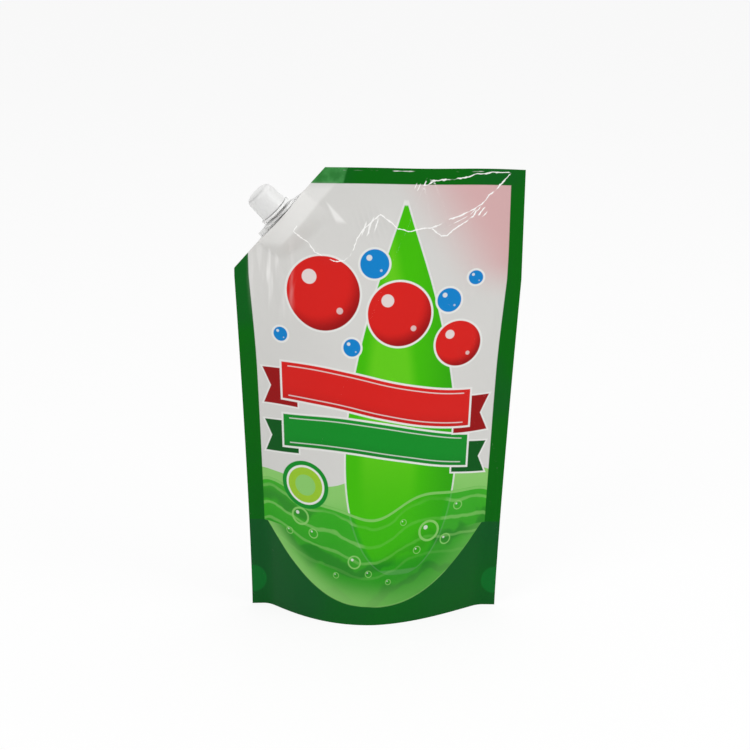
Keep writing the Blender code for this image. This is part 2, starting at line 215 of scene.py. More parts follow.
class Finish:
    """A node material with one Principled shader, and helpers that lay patterns into it."""

    def __init__(self, name, color, roughness):
        self.material = bpy.data.materials.new(name)
        self.material.use_nodes = True
        self.tree = self.material.node_tree
        self.shader = self.tree.nodes["Principled BSDF"]
        self.shader.inputs["Base Color"].default_value = (*color, 1.0)
        self.shader.inputs["Roughness"].default_value = roughness

    def level(self, values):
        """Set some of the shader's own sockets by name."""
        for name, value in values.items():
            self.shader.inputs[name].default_value = value

    def place(self, scale=(1.0, 1.0, 1.0), turn=(0.0, 0.0, 0.0)):
        """Object coordinates, turned and stretched by a Mapping node."""
        coordinates = self.tree.nodes.new("ShaderNodeTexCoord")
        mapping = self.tree.nodes.new("ShaderNodeMapping")
        mapping.inputs["Scale"].default_value = scale
        mapping.inputs["Rotation"].default_value = turn
        self.tree.links.new(coordinates.outputs["Object"], mapping.inputs["Vector"])
        return mapping.outputs["Vector"]

    def noise(self, scale, detail=2.0, vector=None, roughness=0.5):
        """A noise of a given number of patches in a metre."""
        node = self.tree.nodes.new("ShaderNodeTexNoise")
        node.inputs["Scale"].default_value = scale
        node.inputs["Detail"].default_value = detail
        node.inputs["Roughness"].default_value = roughness
        self.tree.links.new(vector or self.place(), node.inputs["Vector"])
        return Field(self.tree, node.outputs["Fac"])

    def map_fields(self, name):
        """The two coordinates of a UV map, in millimetres."""
        node = self.tree.nodes.new("ShaderNodeUVMap")
        node.uv_map = name
        split = self.tree.nodes.new("ShaderNodeSeparateXYZ")
        self.tree.links.new(node.outputs["UV"], split.inputs[0])
        return [Field(self.tree, split.outputs[axis]) * MILLIMETRES for axis in ("X", "Y")]

    def attribute_fields(self, name):
        """The three numbers of a vector attribute."""
        node = self.tree.nodes.new("ShaderNodeAttribute")
        node.attribute_name = name
        split = self.tree.nodes.new("ShaderNodeSeparateXYZ")
        self.tree.links.new(node.outputs["Vector"], split.inputs[0])
        return [Field(self.tree, split.outputs[axis]) for axis in ("X", "Y", "Z")]

    def mixed(self, under, over, mask):
        """A colour laid over another where the mask is 1."""
        node = self.tree.nodes.new("ShaderNodeMix")
        node.data_type = "RGBA"
        self.tree.links.new(mask.socket, node.inputs["Factor"])
        sockets = [socket for socket in node.inputs if socket.type == "RGBA"]
        for colour, socket in zip((under, over), sockets):
            if isinstance(colour, tuple):
                socket.default_value = (*colour, 1.0)
            else:
                self.tree.links.new(colour, socket)
        return next(socket for socket in node.outputs if socket.type == "RGBA")

    def paint(self, colour):
        self.tree.links.new(colour, self.shader.inputs["Base Color"])

    def shine(self, field):
        self.tree.links.new(field.socket, self.shader.inputs["Roughness"])

    def relief(self, field, height):
        """Bump by a field of 0 to 1, whose full height is in metres."""
        node = self.tree.nodes.new("ShaderNodeBump")
        node.inputs["Strength"].default_value = 1.0
        node.inputs["Distance"].default_value = height
        self.tree.links.new(field.socket, node.inputs["Height"])
        self.tree.links.new(node.outputs["Normal"], self.shader.inputs["Normal"])


def half_width(z):
    """Half of the pouch's width at height z: a power curve up to the flare height, then level."""
    share = np.clip(z / FLARE_HEIGHT, 0.0, 1.0)
    return FOOT_HALF_WIDTH + (TOP_HALF_WIDTH - FOOT_HALF_WIDTH) * share**FLARE_POWER


def left_edge(z):
    """The left side's x at height z, with the cut corner as a straight line."""
    return -half_width(z) + np.maximum(z - CORNER_FOOT, 0.0) * CORNER_ACROSS / CORNER_DOWN


def corner_place(x, z):
    """Distances from the spout's axis along the cut corner, and inwards from its edge."""
    from_foot_x, from_foot_z = x + TOP_HALF_WIDTH, z - CORNER_FOOT
    along = from_foot_x * ALONG[0] + from_foot_z * ALONG[2] - SPOUT_ALONG
    inward = -(from_foot_x * OUTWARD[0] + from_foot_z * OUTWARD[2])
    return along, inward


def filled_depth(x, z):
    """The bulge of the filling: a height profile times a lens between the side welds, whose ridge
    lies a little off the middle, eased at the welds and faded at the cut corner."""
    rise = np.clip(z / (HEIGHT - SEAL), 0.0, 1.0)
    middle = BULGE * (1.0 - rise**FILL_POWER) ** FILL_FADE
    inner = half_width(z) - WELD
    even = np.clip(x / inner, -1.0, 1.0)
    across = even + FILL_SHIFT * (1.0 - even**2)
    lens = np.maximum(1.0 - across**2, 0.0) ** LENS_POWER
    inside = np.maximum(inner - np.abs(x), 0.0) / WELD_EASE
    ease = np.where(inside < 1.0, inside / 2, 1.0 - 0.5 / np.maximum(inside, 1.0))
    corner = np.clip((corner_place(x, z)[1] - CORNER_SEAL) / CORNER_RUN, 0.0, 1.0)
    return middle * lens * ease * np.sin(corner * math.pi / 2) ** LENS_POWER


def boat_swelling(x, z):
    """How far the film stands out round the spout's boat: a parabola along the corner, which fades
    over a cosine step past the boat's inner end."""
    along, inward = corner_place(x, z)
    length = np.clip(1.0 - (along / (BOAT_HALF_LENGTH + SWELL_END)) ** 2, 0.0, 1.0)
    past = np.clip((inward - CORNER_SEAL) / SWELL_FADE, 0.0, 1.0)
    return SWELL * length * 0.5 * (1.0 + np.cos(past * math.pi))


def line_place(x, z, line):
    """Each point's place by a line of straight stretches: its distance, counted negative on the
    right of the line's direction, the length along the line to its nearest point, and the line's
    whole length."""
    nearest = np.full(np.shape(x), np.inf)
    side = np.zeros(np.shape(x))
    along = np.zeros(np.shape(x))
    total = 0.0
    for (x_a, down_a), (x_b, down_b) in zip(line, line[1:]):
        start = np.array((x_a, HEIGHT - down_a))
        run = np.array((x_b, HEIGHT - down_b)) - start
        length = np.hypot(*run)
        off_x, off_z = x - start[0], z - start[1]
        share = np.clip((off_x * run[0] + off_z * run[1]) / length**2, 0.0, 1.0)
        gap = np.hypot(off_x - share * run[0], off_z - share * run[1])
        closer = gap < nearest
        nearest = np.where(closer, gap, nearest)
        side = np.where(closer, np.sign(run[0] * off_z - run[1] * off_x), side)
        along = np.where(closer, total + share * length, along)
        total += length
    return nearest * side, along, total


# Creases of the slack film, as (x, distance below the top edge), all seen on the front. The long
# one runs from the spout's flange under the print's tip to the far corner.
LONG_CREASE = [
    (-0.0497, 0.0341), (-0.0524, 0.0387), (-0.0447, 0.0459), (-0.0391, 0.0528), (-0.0328, 0.0557),
    (-0.0266, 0.0578), (-0.0214, 0.0574), (-0.0175, 0.0550), (-0.0150, 0.0495), (-0.0132, 0.0433),
    (-0.0089, 0.0378), (-0.0040, 0.0330), (0.0014, 0.0285), (0.0058, 0.0321), (0.0120, 0.0370),
    (0.0188, 0.0388), (0.0268, 0.0369), (0.0335, 0.0363), (0.0421, 0.0319), (0.0531, 0.0278),
    (0.0592, 0.0247), (0.0634, 0.0218), (0.0681, 0.0161), (0.0741, 0.0104), (0.0805, 0.0021),
]
# Its lower twin, where the film is gathered twice
TWIN_CREASE = [
    (0.0320, 0.0365), (0.0354, 0.0387), (0.0386, 0.0415), (0.0423, 0.0412), (0.0453, 0.0381),
    (0.0514, 0.0344), (0.0550, 0.0319), (0.0581, 0.0294), (0.0602, 0.0250),
]
# The one along the top seal, with a small kink at its end
TOP_CREASE = [
    (0.0805, 0.0021), (0.0677, 0.0023), (0.0592, 0.0034), (0.0525, 0.0057), (0.0470, 0.0064),
    (0.0336, 0.0075), (0.0293, 0.0060), (0.0275, 0.0107), (0.0306, 0.0100), (0.0336, 0.0075),
]
CREASES = (LONG_CREASE, TWIN_CREASE, TOP_CREASE)

# Ridges and grooves in the film: each line, its height, and how fast it falls away to the sides
FRONT_FOLDS = (
    (LONG_CREASE, 0.0012, 0.0040),
    (TWIN_CREASE, 0.0008, 0.0018),
    (TOP_CREASE, 0.0006, 0.0020),
    ([(-0.0343, 0.0211), (-0.0282, 0.0252), (-0.0219, 0.0343)], 0.0009, 0.0030),
    ([(-0.0764, 0.0467), (-0.0714, 0.0541), (-0.0722, 0.0754), (-0.0748, 0.0854)], 0.0006, 0.0030),
    ([(-0.0670, 0.0525), (-0.0583, 0.0742), (-0.0570, 0.0860)], 0.0007, 0.0028),
    ([(0.0586, 0.0584), (0.0570, 0.0839)], 0.0005, 0.0016),
    ([(-0.0570, 0.0760), (-0.0602, 0.1000)], 0.0004, 0.0018),
)
BACK_FOLDS = (
    ([(0.0500, 0.0400), (0.0180, 0.0520), (-0.0200, 0.0360), (-0.0580, 0.0300)], 0.0012, 0.0045),
    ([(0.0660, 0.0560), (0.0600, 0.0800)], 0.0006, 0.0030),
)

FOLD_ENDS = 0.004  # over this length a fold rises from its ends
FOLD_END_SHARE = 0.25  # the share of its height that it keeps there
CREASE_ENDS = 0.003  # over this length a crease's painted glint line fades at its ends
SHARP_ANGLE = math.radians(38)

# Gathers, small pleats side by side: centre and reach across and down, pitch, slant and height
FRONT_GATHERS = (
    ((-0.0050, 0.0360), (0.0085, 0.0080), 0.0036, 0.30, 0.00035),
    ((0.0240, 0.0120), (0.0040, 0.0040), 0.0022, -0.40, 0.00025),
    ((-0.0640, 0.0640), (0.0110, 0.0220), 0.0080, 0.20, 0.00040),
)


def fold_relief(x, z, folds):
    """Sharp-crested ridges: each falls off as an exponential of the distance to its line."""
    total = np.zeros(np.shape(x))
    for line, height, reach in folds:
        gap, along, length = line_place(x, z, line)
        ends = np.clip(np.minimum(along, length - along) / FOLD_ENDS, FOLD_END_SHARE, 1.0)
        total = np.maximum(total, height * ends * np.exp(-np.abs(gap) / reach))
    return total


def gather_relief(x, z, gathers):
    """Cosine pleats inside a bell curve."""
    total = np.zeros(np.shape(x))
    for (across, down), (reach_x, reach_z), pitch, slant, height in gathers:
        off_x, off_z = x - across, z - (HEIGHT - down)
        bell = np.exp(-((off_x / reach_x) ** 2) - (off_z / reach_z) ** 2)
        total = total + height * bell * np.cos(2 * math.pi * (off_x + slant * off_z) / pitch)
    return total


def undulation(x, z):
    """Slow dents of the filled film: three slanting sines, calm towards the foot's seal."""
    first = np.sin(2 * math.pi * (x + 0.35 * z) / 0.058 + 0.7)
    second = np.sin(2 * math.pi * (z - 0.30 * x) / 0.083 + 1.9)
    third = np.sin(2 * math.pi * (x - 0.8 * z) / 0.037 + 3.1)
    return 0.00030 * np.clip(z / 0.06, 0.0, 1.0) * (first * second + 0.45 * third)


def panel_depth(x, z, folds):
    """From the middle plane to a panel's outer face: the bulge and the boat's swelling joined by a
    smooth maximum, with the folds on top and half a welded film pair under all."""
    bulge = filled_depth(x, z)
    swelling = boat_swelling(x, z)
    depth = (bulge**3 + swelling**3) ** (1 / 3)
    slack = fold_relief(x, z, folds)
    if folds is FRONT_FOLDS:
        slack = slack + gather_relief(x, z, FRONT_GATHERS)
    if folds:
        slack = slack + undulation(x, z)
    return depth + np.clip(bulge / 0.0015, 0.0, 1.0) * slack + FILM_PAIR / 2


def middle_plane(x, z):
    """The y of the welded edges: a wave that grows towards the top, and the foot's swing on the
    spout's side, a square of the distance both ways."""
    share = np.clip((z - CORNER_FOOT) / CORNER_DOWN, 0.0, 1.0)
    calm = np.clip((x + TOP_HALF_WIDTH) / (2 * CORNER_ACROSS) - 0.5, 0.0, 1.0)
    wave = TOP_WAVE * share**2 * calm * np.sin(2 * math.pi * x / WAVE_LENGTH)
    low = np.clip(1.0 - z / FOOT_SWING_HEIGHT, 0.0, 1.0)
    left = np.clip(-x / FOOT_HALF_WIDTH, 0.0, 1.0)
    return -wave - FOOT_SWING * (low * left) ** 2


def seam_height(x):
    """The height of the curved bottom seal: a power curve from the skirt to the gusset's fold."""
    share = np.clip(np.abs(x) / (FOOT_HALF_WIDTH - SEAL), 0.0, 1.0)
    return SKIRT_HEIGHT + (GUSSET_HEIGHT - SKIRT_HEIGHT) * share**SKIRT_POWER


def base_height(seam, depth):
    """The height of the gusset's fold where the filling has pushed it down: the film hangs by its
    own length from the seam, or lies on the floor."""
    film = GUSSET_HEIGHT - seam
    drop = np.sqrt(np.maximum(film**2 - depth**2, 0.0))
    return np.maximum(seam - drop, 0.0)


def grid_x(z):
    """The x of a grid's points from their heights, with the columns last. The outer columns follow
    the side welds and the cut corner's seal, which is met at a slant."""
    seal = np.linspace(0.0, 1.0, SEAL_COLUMNS + 1)
    even = np.linspace(0.0, 1.0, COLUMNS + 1)
    between = 0.7 * even + 0.15 * (1.0 - np.cos(even * math.pi))
    others = len(between) + SEAL_COLUMNS
    left_share = np.concatenate((seal[:-1], np.ones(others)))
    panel_share = np.concatenate((np.zeros(SEAL_COLUMNS), between, np.ones(SEAL_COLUMNS)))
    right_share = np.concatenate((np.zeros(others), seal[1:]))
    slant = CORNER_SEAL / -OUTWARD[0]
    run = np.clip((z - CORNER_FOOT) / SEAL + 0.5, 0.0, 1.0)
    left_weld = WELD + (slant - WELD) * run
    inner_left = left_edge(z) + left_weld
    inner_right = half_width(z) - WELD
    panel = (inner_right - inner_left) * panel_share
    return left_edge(z) + left_weld * left_share + panel + WELD * right_share


def grid_mesh(name, sheets):
    """One mesh from several grids of points, each with its material's place, welded where they
    meet. Each quad joins a point to its neighbours by row and column."""
    points, quads, slots = [], [], []
    start = 0
    for sheet, place in sheets:
        rows, columns = sheet.shape[:2]
        index = np.arange(rows * columns).reshape(rows, columns) + start
        corners = (index[:-1, :-1], index[:-1, 1:], index[1:, 1:], index[1:, :-1])
        faces = np.stack(corners, axis=-1).reshape(-1, 4)
        points.append(sheet.reshape(-1, 3))
        quads.append(faces)
        slots.append(np.full(len(faces), place))
        start += rows * columns
    mesh = bpy.data.meshes.new(name)
    mesh.from_pydata(np.concatenate(points), [], np.concatenate(quads).tolist())
    mesh.polygons.foreach_set("material_index", np.concatenate(slots).astype(np.int32))
    bm = bmesh.new()
    bm.from_mesh(mesh)
    bmesh.ops.remove_doubles(bm, verts=bm.verts, dist=1e-6)
    bmesh.ops.dissolve_degenerate(bm, edges=bm.edges, dist=1e-7)
    bmesh.ops.recalc_face_normals(bm, faces=bm.faces)
    bm.to_mesh(mesh)
    bm.free()
    return mesh


def add_piece(name, mesh, *materials):
    """Link a piece whose place is in its mesh, shaded smooth up to sharp edges."""
    piece = bpy.data.objects.new(name, mesh)
    bpy.context.collection.objects.link(piece)
    for material in materials:
        mesh.materials.append(material)
    mesh.shade_smooth()
    mesh.set_sharp_from_angle(angle=SHARP_ANGLE)
    return piece


FRONT, BACK, GUSSET = range(3)


def film_mesh():
    """The closed pouch: two panels, the welded edges, two skirts and the base film."""
    lower = np.linspace(0.0, FINE_FROM, LOWER_ROWS + 1)
    upper = np.linspace(FINE_FROM, HEIGHT - SEAL, UPPER_ROWS + 1)
    top = np.linspace(HEIGHT - SEAL, HEIGHT, WELD_ROWS + 1)
    heights = np.concatenate((lower, upper[1:], top[1:]))
    column_count = grid_x(np.zeros(1)).shape[-1]
    z = np.repeat(heights[:, None], column_count, axis=1)
    x = grid_x(z)
    middle = middle_plane(x, z)
    spine = np.stack((x, middle, z), axis=-1)

    seam = seam_height(x[0])
    skirt_z = seam * np.linspace(0.0, 1.0, SKIRT_ROWS + 1)[:, None]
    skirt_x = grid_x(skirt_z)
    skirt_middle = middle_plane(skirt_x, skirt_z)
    gap = panel_depth(skirt_x, skirt_z, ()) - FILM_PAIR / 2
    skirt_y = gap**2 / (gap + FILM_PAIR / 2)
    wide = skirt_y[-1]
    fold = base_height(seam, wide)
    steps = np.linspace(1.0, -1.0, BASE_ROWS + 1)[:, None]
    lift = (np.maximum(np.abs(steps) - BASE_FLAT, 0.0) / (1.0 - BASE_FLAT)) ** 2
    base_x = np.broadcast_to(skirt_x[-1], (len(steps), column_count))
    base_y = skirt_middle[-1] - steps * wide
    base = np.stack((base_x, base_y, fold + (seam - fold) * lift), axis=-1)

    between_seals = slice(SEAL_COLUMNS, -SEAL_COLUMNS)
    sheets = [(base[:, between_seals], GUSSET)]
    for side, folds, place in ((-1.0, FRONT_FOLDS, FRONT), (1.0, BACK_FOLDS, BACK)):
        panel = np.stack((x, middle + side * panel_depth(x, z, folds), z), axis=-1)
        skirt = np.stack((skirt_x, skirt_middle + side * skirt_y, skirt_z), axis=-1)
        sheets += [
            (panel, place),
            (skirt[:, between_seals], GUSSET),
            (np.stack((panel[0], skirt[0])), place),
            (np.stack((panel[-1], spine[-1])), place),
            (np.stack((panel[:, 0], spine[:, 0])), place),
            (np.stack((panel[:, -1], spine[:, -1])), place),
        ]
    return grid_mesh("pouch_film", sheets)


def flat_film_map(mesh, name):
    """A UV map in metres of the flat film: across, with the sides drawn straight, and up."""
    count = len(mesh.vertices)
    points = np.empty(count * 3)
    mesh.vertices.foreach_get("co", points)
    points = points.reshape(-1, 3)
    across = points[:, 0] * TOP_HALF_WIDTH / half_width(points[:, 2])
    corners = np.empty(len(mesh.loops), dtype=np.int32)
    mesh.loops.foreach_get("vertex_index", corners)
    layer = mesh.uv_layers.new(name=name)
    layer.data.foreach_set("uv", np.stack((across, points[:, 2]), axis=-1)[corners].ravel())


def crease_attributes(mesh):
    """Two vector attributes with a number for each crease: how far the point lies from it in
    millimetres, and 1 along it, fading to 0 at its ends."""
    points = np.empty(len(mesh.vertices) * 3)
    mesh.vertices.foreach_get("co", points)
    x, _, z = points.reshape(-1, 3).T
    gaps, holds = [], []
    for line in CREASES:
        gap, along, length = line_place(x, z, line)
        gaps.append(gap * MILLIMETRES)
        holds.append(np.clip(np.minimum(along, length - along) / CREASE_ENDS, 0.0, 1.0))
    for name, values in (("crease_gap", gaps), ("crease_hold", holds)):
        layer = mesh.attributes.new(name, "FLOAT_VECTOR", "POINT")
        layer.data.foreach_set("vector", np.stack(values, axis=-1).ravel())


# Print colours
BORDER_GREEN = linear(0, 99, 8)
DEEP_GREEN = linear(12, 84, 34)
SPOT_GREEN = linear(8, 112, 40)
THIN_GREEN = linear(84, 166, 92)
PANEL_WHITE = linear(212, 211, 208)
DROP_GREEN = linear(66, 186, 4)
DROP_LIGHT = linear(112, 208, 34)
DROP_SHADE = linear(40, 154, 8)
RED = linear(212, 34, 30)
DARK_RED = linear(150, 18, 20)
RIBBON_GREEN = linear(18, 138, 40)
DARK_RIBBON = linear(8, 86, 26)
KEYLINE = linear(228, 228, 225)
BLUE = linear(18, 128, 200)
WAVE_GREEN = linear(46, 166, 24)
WAVE_DARK = linear(10, 108, 26)
PALE_GREEN = linear(138, 200, 108)
LIME = linear(150, 196, 50)
PINK = linear(212, 172, 172)
# Painted highlight: the near-white of the glints laid along the creases and over the slack film
CREASE_GLINT_WHITE = linear(252, 251, 249)

# Sizes of the printing, in millimetres across and up the flat film
PRINT_EDGE = 0.25  # softness of a printed edge
OUTLINE = 1.3  # width of the pale line round balls and ribbons
BORDER_EDGE = 80.9  # from the middle to the side borders, at the upper end
BORDER_SPREAD = 2.4  # how much wider they are low down
FOOT_TOP = 60.0  # height up to which the double film shows
FOOT_REACH = 78.0  # from the middle to the ends of the curved seal's printed edge
FOOT_RISE, FOOT_LOW = 50.0, 13.0
DROP_MIDDLE = 17.0
RIBBON_HALF = 62.0
TAIL_FROM, TAIL_TO, TAIL_DROP = 52.0, 75.0, 4.5

# Balls: centre, radius, colour and shade
BALLS = (
    ((-34.0, 217.0), 23.0, RED, DARK_RED),
    ((14.0, 205.0), 20.0, RED, DARK_RED),
    ((52.0, 185.0), 14.5, RED, DARK_RED),
    ((-2.0, 236.0), 9.0, BLUE, BLUE),
    ((45.0, 213.0), 7.5, BLUE, BLUE),
    ((-16.0, 184.0), 5.5, BLUE, BLUE),
    ((61.0, 227.0), 4.5, BLUE, BLUE),
    ((-62.0, 189.0), 4.5, BLUE, BLUE),
)
# Clear bubbles in the liquid: centre and radius
BUBBLES = (
    ((-52.0, 70.0), 5.5), ((-43.0, 60.0), 3.0), ((-60.0, 58.0), 2.2), ((38.0, 62.0), 6.5),
    ((50.0, 54.0), 3.4), ((30.0, 50.0), 2.4), ((-14.0, 44.0), 4.2), ((-4.0, 36.0), 2.2),
    ((58.0, 76.0), 2.8), ((10.0, 30.0), 1.8), ((-27.0, 34.0), 1.9), ((20.0, 70.0), 2.0),
)
RING_CENTRE = (-48.0, 92.0)
RINGS = ((16.0, RIBBON_GREEN), (13.2, KEYLINE), (11.8, LIME), (7.0, PALE_GREEN))
# Round spots in the double film at the foot's ends
SPOT_CENTRES = ((-88.0, 18.0), (88.0, 18.0))
SPOT_RADIUS = 9.5


def disc(u, v, centre, radius):
    """How far a point lies inside a circle."""
    return -(((u - centre[0]) ** 2.0 + (v - centre[1]) ** 2.0).root() - radius)


def beside(centre, radius, across, up):
    """A place off a circle's centre, by shares of its radius."""
    return centre[0] + radius * across, centre[1] + radius * up


def wave_line(u, pitch, shift, height, level):
    """The height of a printed wave's crest, two sines of different pitch."""
    slow = (u * (2 * math.pi / pitch) + shift).wave()
    quick = (u * (2 * math.pi / pitch * 2.3) + shift * 1.7).wave()
    return slow * height + quick * (height * 0.3) + level


def print_ball(finish, colour, u, v, centre, radius, ink_colour, dark):
    """A ball with a pale outline, a darker lower side and two glints."""
    ball = disc(u, v, centre, radius)
    colour = finish.mixed(colour, KEYLINE, (ball + OUTLINE).ink())
    lit = disc(u, v, beside(centre, radius, -0.2, 0.3), radius)
    shaded = finish.mixed(ink_colour, dark, lit.step(radius * 0.15, -radius * 0.35))
    colour = finish.mixed(colour, shaded, ball.ink())
    glint = disc(u, v, beside(centre, radius, -0.38, 0.42), radius * 0.2)
    colour = finish.mixed(colour, KEYLINE, glint.ink() * 0.85)
    spark = disc(u, v, beside(centre, radius, 0.45, -0.45), radius * 0.09)
    return finish.mixed(colour, KEYLINE, spark.ink() * 0.6)


def print_bubble(finish, colour, u, v, centre, radius):
    """A clear bubble: a pale ring with a glint."""
    rim = disc(u, v, centre, radius)
    colour = finish.mixed(colour, PALE_GREEN, (rim.size() * -1.0 + radius * 0.12).ink() * 0.9)
    glint = disc(u, v, beside(centre, radius, -0.35, 0.4), radius * 0.22)
    return finish.mixed(colour, KEYLINE, glint.ink() * 0.8)


def print_ribbon(finish, colour, u, v, level, thick, ink_colour, dark, shift):
    """A waving ribbon with a darker notched tail behind each end and a pale outline."""
    centre = (u * -0.030 + shift).wave() * 6.0 - u * 0.05 + level
    tail_inside = -(v - centre + TAIL_DROP).size() + thick
    tail = tail_inside.least(-u.size() + TAIL_TO - tail_inside * 0.45)
    tail = tail.least(u.size() - TAIL_FROM)
    colour = finish.mixed(colour, KEYLINE, (tail + 1.1).ink())
    colour = finish.mixed(colour, dark, tail.ink())
    gap = (v - centre).size()
    face = (-gap + thick).least(-u.size() + RIBBON_HALF)
    colour = finish.mixed(colour, KEYLINE, (face + OUTLINE).ink())
    lower = (v - centre).step(-thick * 0.2, -thick * 1.6)
    colour = finish.mixed(colour, finish.mixed(ink_colour, dark, lower * 0.6), face.ink())
    thread = ((gap - (thick - 2.4)).size() * -1.0 + 0.35).least(-u.size() + RIBBON_HALF - 4.0)
    return finish.mixed(colour, KEYLINE, thread.ink() * 0.75)


def print_drop(across, v, foot, height, width):
    """How far a point lies inside a drop, and the drop's half width there: a power curve of the
    height, round below and drawn out above."""
    share = ((v - foot) / height).most(0.0).least(1.0)
    half = (share**0.5) * ((-share + 1.0) ** 1.1) * width
    tip = (-share + 1.0).least(share) * 90.0 - 1.5
    return (half - across.size()).least(tip), half


def print_front(finish, u, v):
    """The front's printing: a tall drop, balls, two ribbons, waves of liquid with bubbles in them,
    and rings."""
    patches = finish.noise(26.0, 3.0)
    # A soft pink tint in the upper corner away from the spout
    pink = (u * 0.9 + v * 0.55 - 144.0).step(16.0, 66.0) * v.step(208.0, 238.0)
    colour = finish.mixed(PANEL_WHITE, PINK, pink)
    # Liquid behind the drop
    far = wave_line(u, 150.0, 0.6, 8.0, 101.0) - v
    depth = far.step(4.0, 40.0) * patches.step(0.25, 0.75)
    colour = finish.mixed(colour, finish.mixed(PALE_GREEN, WAVE_GREEN, depth), far.ink())
    # The drop, darker on one side and lighter on the other
    across = u - DROP_MIDDLE
    drop, drop_half = print_drop(across, v, 34.0, 242.0, 100.0)
    body = finish.mixed(DROP_GREEN, DROP_SHADE, across.step(4.0, 40.0) * 0.8)
    crescent = (drop_half * 0.62 - (across + 8.0).size()).step(0.0, 9.0) * v.step(60.0, 150.0)
    body = finish.mixed(body, DROP_LIGHT, crescent * 0.6)
    colour = finish.mixed(colour, KEYLINE, (drop + 1.2).ink() * 0.8)
    colour = finish.mixed(colour, body, drop.ink())
    # Liquid in front of it, darker with depth, with swirls and streaks that follow its surface
    near = wave_line(u, 118.0, -1.1, 7.0, 82.0) - v
    liquid = finish.mixed(WAVE_GREEN, WAVE_DARK, near.step(6.0, 56.0) * 0.45)
    swirl = (near * 0.21 + patches * 16.0 + u * 0.03).wave().step(0.2, 0.95)
    liquid = finish.mixed(liquid, WAVE_DARK, swirl * near.step(2.0, 12.0) * 0.6)
    streak = (near * 0.55 + patches * 9.0).wave().step(0.72, 0.98) * near.step(1.0, 8.0)
    liquid = finish.mixed(liquid, PALE_GREEN, streak * near.step(52.0, 20.0) * 0.55)
    through = (drop - 1.0).step(0.0, 3.0) * near.step(60.0, 20.0) * 0.62 + 0.08
    colour = finish.mixed(colour, liquid, near.ink() * (-through + 1.0))
    crest = (near - 1.0).size() * -1.0 + 0.9
    colour = finish.mixed(colour, PALE_GREEN, crest.ink() * 0.8)
    for bubble in BUBBLES:
        colour = print_bubble(finish, colour, u, v, *bubble)
    colour = print_ribbon(finish, colour, u, v, 121.0, 10.5, RIBBON_GREEN, DARK_RIBBON, 0.9)
    colour = print_ribbon(finish, colour, u, v, 151.0, 12.0, RED, DARK_RED, 0.2)
    for ball in BALLS:
        colour = print_ball(finish, colour, u, v, *ball)
    for radius, ink_colour in RINGS:
        colour = finish.mixed(colour, ink_colour, disc(u, v, RING_CENTRE, radius).ink())
    return colour


def print_back(finish, u, v):
    """The back's printing: the same waves, a plain drop and a ribbon."""
    far = wave_line(u, 150.0, -0.6, 8.0, 101.0) - v
    colour = finish.mixed(PANEL_WHITE, PALE_GREEN, far.ink())
    drop, _ = print_drop(u, v, 112.0, 150.0, 78.0)
    colour = finish.mixed(colour, DROP_GREEN, drop.ink())
    near = wave_line(u, 118.0, 1.1, 7.0, 82.0) - v
    liquid = finish.mixed(WAVE_GREEN, WAVE_DARK, near.step(6.0, 46.0) * 0.75)
    colour = finish.mixed(colour, liquid, near.ink())
    return print_ribbon(finish, colour, u, v, 118.0, 10.5, RIBBON_GREEN, DARK_RIBBON, 0.9)


def crease_glint_lines(finish, u, v, uneven, breaks):
    """Painted highlights along the creases: where the glint lines lie, of uneven width, broken here
    and there, with a third line halfway between the twins and ragged strokes at their far end."""
    gaps = finish.attribute_fields("crease_gap")
    holds = finish.attribute_fields("crease_hold")
    wander = (finish.noise(330.0, 2.0) - 0.5) * 1.6
    marks = uneven * 0.0
    for gap, hold, width, least in zip(gaps, holds, (1.05, 1.0, 0.95), (0.33, 0.31, 0.33)):
        half = (uneven - 0.22).most(0.06) * width * 1.7
        line = (((gap + wander).size() * -1.0 + half) / half).step(0.0, 0.7)
        line = line * hold.step(0.0, 0.5)
        marks = marks.most(line * breaks.step(least, least + 0.10))
    between = (gaps[0] * -1.0).step(0.3, 0.9) * gaps[1].step(0.3, 0.9)
    between = between * u.step(39.0, 42.0) * u.step(66.0, 64.0)
    middle = (gaps[0].size() - gaps[1].size()).size() * -1.0 + uneven * 1.1
    marks = marks.most(between * middle.step(0.0, 0.5) * breaks.step(0.40, 0.50))
    slanted = (u * 1.9 - v * 1.6 + uneven * 6.0).wave().step(0.3, 0.9)
    ragged = u.hump(63.5, 5.0) * v.hump(268.5, 5.0) * slanted
    return marks.most(ragged.step(0.15, 0.5))


def gather_glints(u, v, uneven, breaks):
    """Painted highlights in the gathers: short glinting strokes side by side, near the middle and
    at the top crease's end, a sine across the strokes inside a bell."""
    bell = u.hump(-5.0, 9.5) * (v - u * 0.55).hump(261.5, 8.5)
    strokes = (u * 1.75 - v * 0.55 + uneven * 4.0).wave().step(0.35, 0.9)
    middle = (bell + breaks * 0.6 - 0.3).step(0.25, 0.6) * strokes
    bell = u.hump(24.0, 4.5) * v.hump(283.5, 4.5)
    strokes = (u * 2.6 - v * 1.2 + uneven * 3.0).wave().step(0.5, 0.95)
    return middle.most(bell.step(0.3, 0.7) * strokes * 0.9)


